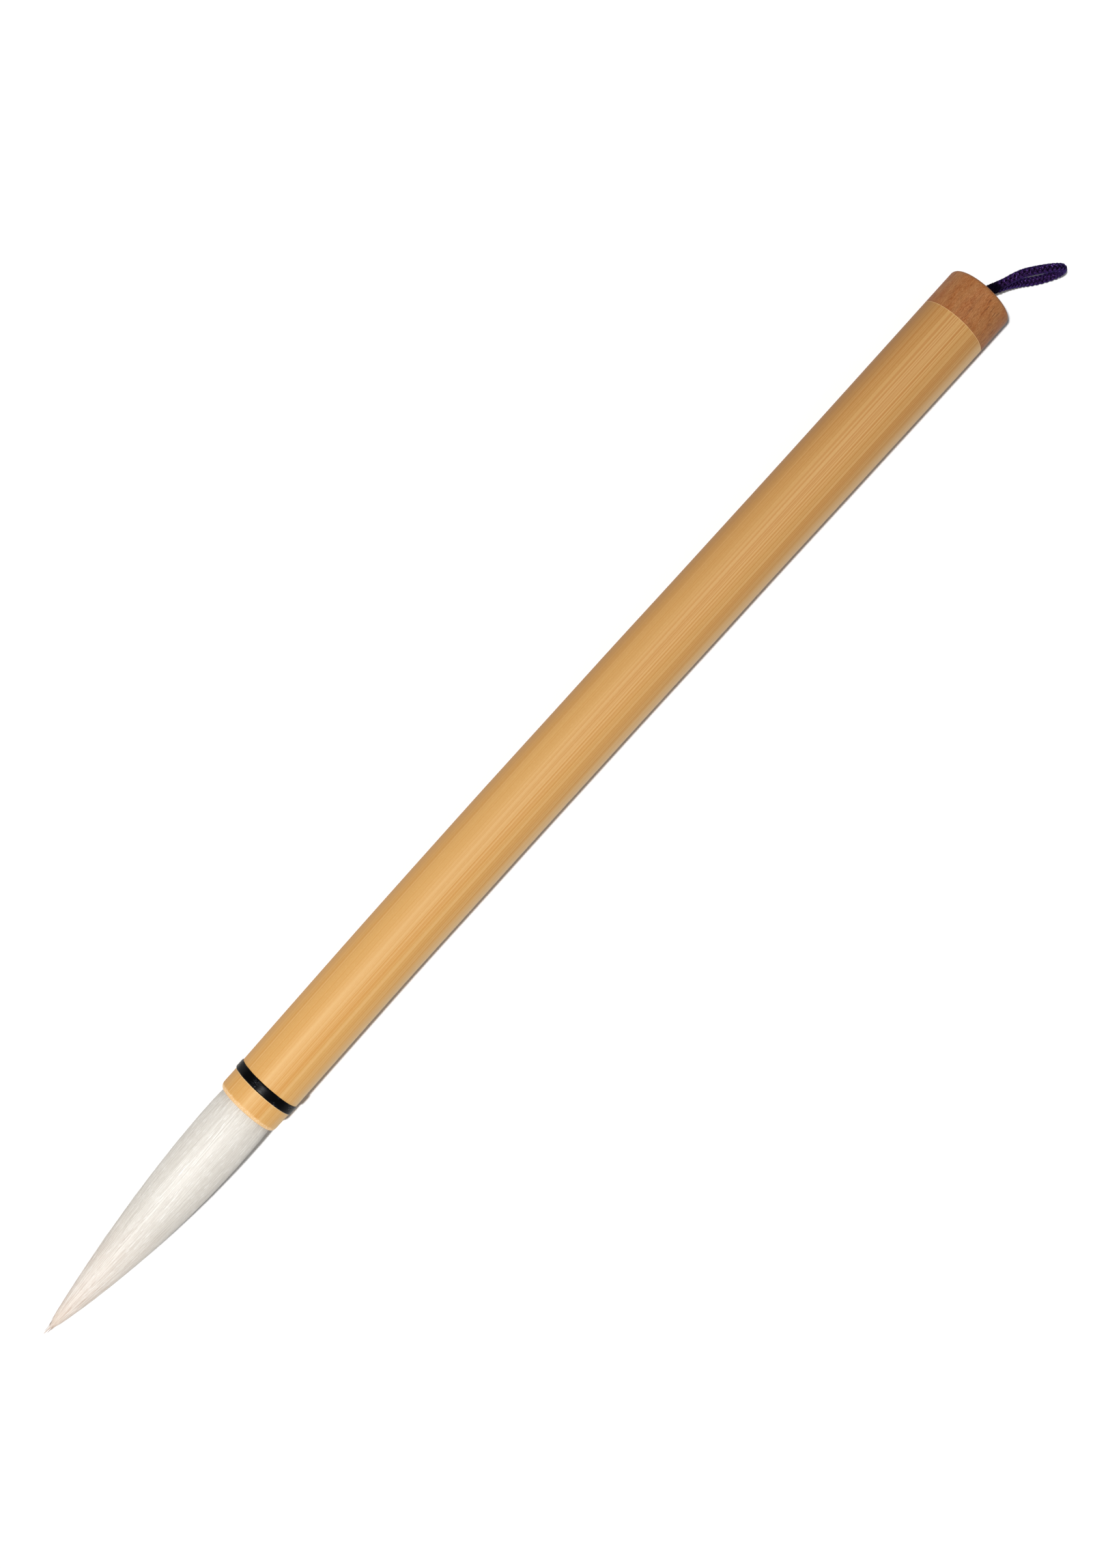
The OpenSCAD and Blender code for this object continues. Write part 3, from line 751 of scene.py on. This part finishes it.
def add_cover_hair(material):
    """The coat of fine hair, each strand from inside the mouth to its own end along the tuft."""
    count = COVER_COUNT
    angle = rng.uniform(0, 2 * np.pi, count)
    end = end_places(count, 0.045)
    # Over half of the strands start inside the mouth, and the rest further along the coat
    start = np.where(rng.uniform(size=count) < 0.55, 1.02, rng.uniform(0.5, 1.0, count))
    start = np.maximum(start, np.minimum(end + 0.32, 1.02))
    s = np.linspace(0, 1, COVER_RINGS)[None]
    t = start[:, None] + (end - start)[:, None] * s
    wander = 0.05 * waves((angle[:, None] * 3, t * 4), seed=33, count=5, low=0.6, high=2.5)
    own = rng.normal(0, 0.035, count)[:, None] * s ** 1.5
    turn = angle[:, None] + wander + own
    rises = rng.uniform(-0.03, 0.03, count)[:, None] * MM
    # Strands that start on the coat rise out of it, and those in the mouth lie under its lip and then fill it
    sink = np.where(start[:, None] < 1.01, 0.15 * MM * (1 - s) ** 4, 0) + np.where(t > 1, 0.25 * MM, 0)
    flush = 0.08 * MM * np.clip((t - 0.92) / 0.08, 0, 1)
    depth = rises + sink - flush - CLUMP_DEPTH * clump(angle[:, None], t) + 0.02 * MM * s ** 4
    places = tuft_place(np.clip(t, 0, 1), turn, np.clip(depth, -0.11 * MM, 1))
    places[..., 0] = TIP_X + t * HAIR_LEN
    width = HAIR_W * rng.uniform(0.7, 1.25, count)[:, None] * (1 - 0.8 * s ** 3) * np.where(t > 1, 0.9, 1)
    # Locks of tan hair between whiter ones, weaker toward the mouth, and strands darker where they lie deeper
    # in the clumps, as painted shade
    lock = waves((angle[:, None], t * 5), seed=47, count=9, low=30, high=120)
    tone = np.clip(rng.normal(0.32, 0.26, count)[:, None] - 0.2 * clump(angle[:, None], t)
                   - (0.7 - 0.35 * t) * lock, 0, 1)
    hair = add_strands("cover_hair_strands", places, turn, width, tone, np.clip(t, 0, 1))
    hair.data.materials.append(material)
    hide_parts("cover_hair", "cover_hair_root")
    bend_with_tuft(hair)


def add_life_hair(material):
    """The longest hairs, which draw together into a few wisps at the point."""
    count = LIFE_COUNT
    angle = rng.uniform(0, 2 * np.pi, count)
    wisp = np.array(WISPS)
    wisp_angle = np.arctan2(wisp[:, 2], wisp[:, 1])
    which = np.argmin(np.abs((angle[:, None] - wisp_angle + np.pi) % (2 * np.pi) - np.pi), 1)
    end = wisp[which, 0] + np.abs(rng.normal(0, 0.01, count))
    start = rng.uniform(0.22, 0.5, count)
    s = np.linspace(0, 1, LIFE_RINGS)[None]
    t = start[:, None] + (end - start)[:, None] * s ** 0.8
    pull = np.clip(1 - t / 0.11, 0, 1) ** 1.3
    turn = angle[:, None] + rng.normal(0, 0.05, count)[:, None] * s
    depth = rng.uniform(0.02, 0.16, count)[:, None] * MM + 0.15 * MM * (1 - s) ** 2
    loose = tuft_place(t, turn, depth)
    drawn = np.stack([TIP_X + t * HAIR_LEN, tuft_lean(t) + wisp[which, 1:2] * MM,
                      AXIS_Z + wisp[which, 2:3] * MM + 0 * t], -1)
    places = loose + (drawn - loose) * pull[..., None]
    places[..., 1:] += rng.normal(0, 0.035, (count, 1, 2)) * MM * pull[..., None]
    width = HAIR_W * rng.uniform(0.6, 1.0, count)[:, None] * (1 - 0.75 * s ** 2.5)
    tone = np.clip(rng.normal(0.5, 0.25, count)[:, None] + 0 * t, 0, 1)
    # Hairs that have lifted off the coat
    fly_angle = rng.uniform(0, 2 * np.pi, FLYAWAY_COUNT)
    fly_end = rng.uniform(0.1, 0.6, FLYAWAY_COUNT)
    fly_t = (fly_end + rng.uniform(0.15, 0.3, FLYAWAY_COUNT))[:, None] * (1 - s) + fly_end[:, None] * s
    lift = rng.uniform(0.05, 0.3, FLYAWAY_COUNT)[:, None] * MM * s ** 2
    fly_turn = fly_angle[:, None] + rng.normal(0, 0.08, FLYAWAY_COUNT)[:, None] * s
    places = np.concatenate([places, tuft_place(fly_t, fly_turn, 0.02 * MM - lift)])
    width = np.concatenate([width, 0.6 * HAIR_W * (1 - 0.7 * s ** 2) + 0 * fly_t])
    tone = np.concatenate([tone, 0.2 + 0 * fly_t])
    hair = add_strands("life_hair_strands", places, np.concatenate([turn, fly_turn]), width, tone,
                       np.concatenate([t, fly_t]))
    hair.data.materials.append(material)
    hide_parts("life_hair")
    bend_with_tuft(hair)


# ---- Root of the hair, inside the mouth ----
THREAD_TURNS, THREAD_RINGS, PLY_SIDES = 5, 220, 8
PLY_R, PLY_OFF, PLY_TWISTS = 0.13 * MM, 0.11 * MM, 36


def add_thread(material):
    """Turns of two-ply thread around the root."""
    pitch = (thread_high.x - thread_low.x) / THREAD_TURNS
    points, faces = [], []
    ring = np.linspace(0, 2 * np.pi, PLY_SIDES, endpoint=False)
    a = np.linspace(0, 2 * np.pi, THREAD_RINGS, endpoint=False)
    out = np.stack([0 * a, np.cos(a), np.sin(a)], -1)
    middle_r = ROOT_R - pitch / 2
    for k in range(THREAD_TURNS):
        for ply in (0, np.pi):
            twist = PLY_TWISTS * a + ply
            x = thread_low.x + pitch * (k + 0.5) + PLY_OFF * np.cos(twist)
            r = middle_r + PLY_OFF * np.sin(twist)
            centre = np.stack([x, r * np.cos(a), AXIS_Z + r * np.sin(a)], -1)
            section = PLY_R * (np.cos(ring)[None, :, None] * out[:, None]
                               + np.sin(ring)[None, :, None] * np.array((1.0, 0, 0)))
            start = sum(len(p) for p in points)
            points.append((centre[:, None] + section).reshape(-1, 3))
            faces += grid_faces(THREAD_RINGS, PLY_SIDES, wrap_rows=True, start=start).tolist()
    points = np.vstack(points)
    thread = make_object("binding_thread", points, faces, sharp=180)
    store(thread, "grain", points, "FLOAT_VECTOR")
    thread.data.materials.append(material)
    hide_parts("root_thread")
    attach(thread, "handle")


def paint_node(node, material):
    """Gives a CAD node that keeps its shape its finished material."""
    mesh = frame["nodes"][node].data
    mesh.materials.clear()
    mesh.materials.append(material)


# ---- Floor and light ----
FLOOR_HALF, FLOOR_Z = 1.5, -0.02 * MM


def add_floor(material):
    corners = [(x * FLOOR_HALF, y * FLOOR_HALF, FLOOR_Z) for x, y in ((-1, -1), (1, -1), (1, 1), (-1, 1))]
    floor = make_object("floor", corners, [(0, 1, 2, 3)])
    floor.data.materials.append(material)


def add_sun(name, energy, angle, tilt):
    """A distant light. tilt turns it from straight down, about X and then about Y, in degrees."""
    data = bpy.data.lights.new(name, "SUN")
    data.energy, data.angle = energy, math.radians(angle)
    light = bpy.data.objects.new(name, data)
    bpy.context.scene.collection.objects.link(light)
    light.location = (0, 0, 0.6)
    light.rotation_euler = (math.radians(tilt[0]), math.radians(tilt[1]), 0)


def add_light():
    """A hard light from above the tuft, a weak broad one from the other side, and pale surroundings."""
    add_sun("key", energy=3.3, angle=3, tilt=(-4.5, -16))
    add_sun("fill", energy=0.15, angle=70, tilt=(50, 0))
    world = bpy.data.worlds.new("surroundings")
    bpy.context.scene.world = world
    world.use_nodes = True
    background = world.node_tree.nodes["Background"]
    background.inputs["Color"].default_value = (0.98, 0.99, 1, 1)
    # The surroundings look paler than the light that they give
    seen = world.node_tree.nodes.new("ShaderNodeLightPath").outputs["Is Camera Ray"]
    strength = world.node_tree.nodes.new("ShaderNodeMapRange")
    strength.inputs["To Min"].default_value, strength.inputs["To Max"].default_value = 0.17, 0.9
    world.node_tree.links.new(seen, strength.inputs["Value"])
    world.node_tree.links.new(strength.outputs[0], background.inputs["Strength"])
    bpy.context.scene.view_settings.view_transform = "Standard"


add_camera()
cord_look = cord_material()
add_cord(cord_look)
add_knot(cord_look)
add_floor(floor_material())
add_light()
add_handle(bamboo_material())
add_band(band_material())
add_cap(cap_material())
core_look = hair_material("hair_core", srgb(222, 216, 207), srgb(228, 217, 204),
                          ((190, 160, 138), (192, 184, 175)), srgb(234, 230, 222))
hair_look = hair_material("hair_white", srgb(225, 220, 211), srgb(246, 238, 229),
                          ((172, 136, 110), (180, 170, 160)), srgb(250, 248, 244))
add_hair_body(core_look)
add_cover_hair(hair_look)
add_life_hair(hair_look)
add_thread(thread_material())
paint_node("root_glue", glue_material())
paint_node("root_seal", sear_material())
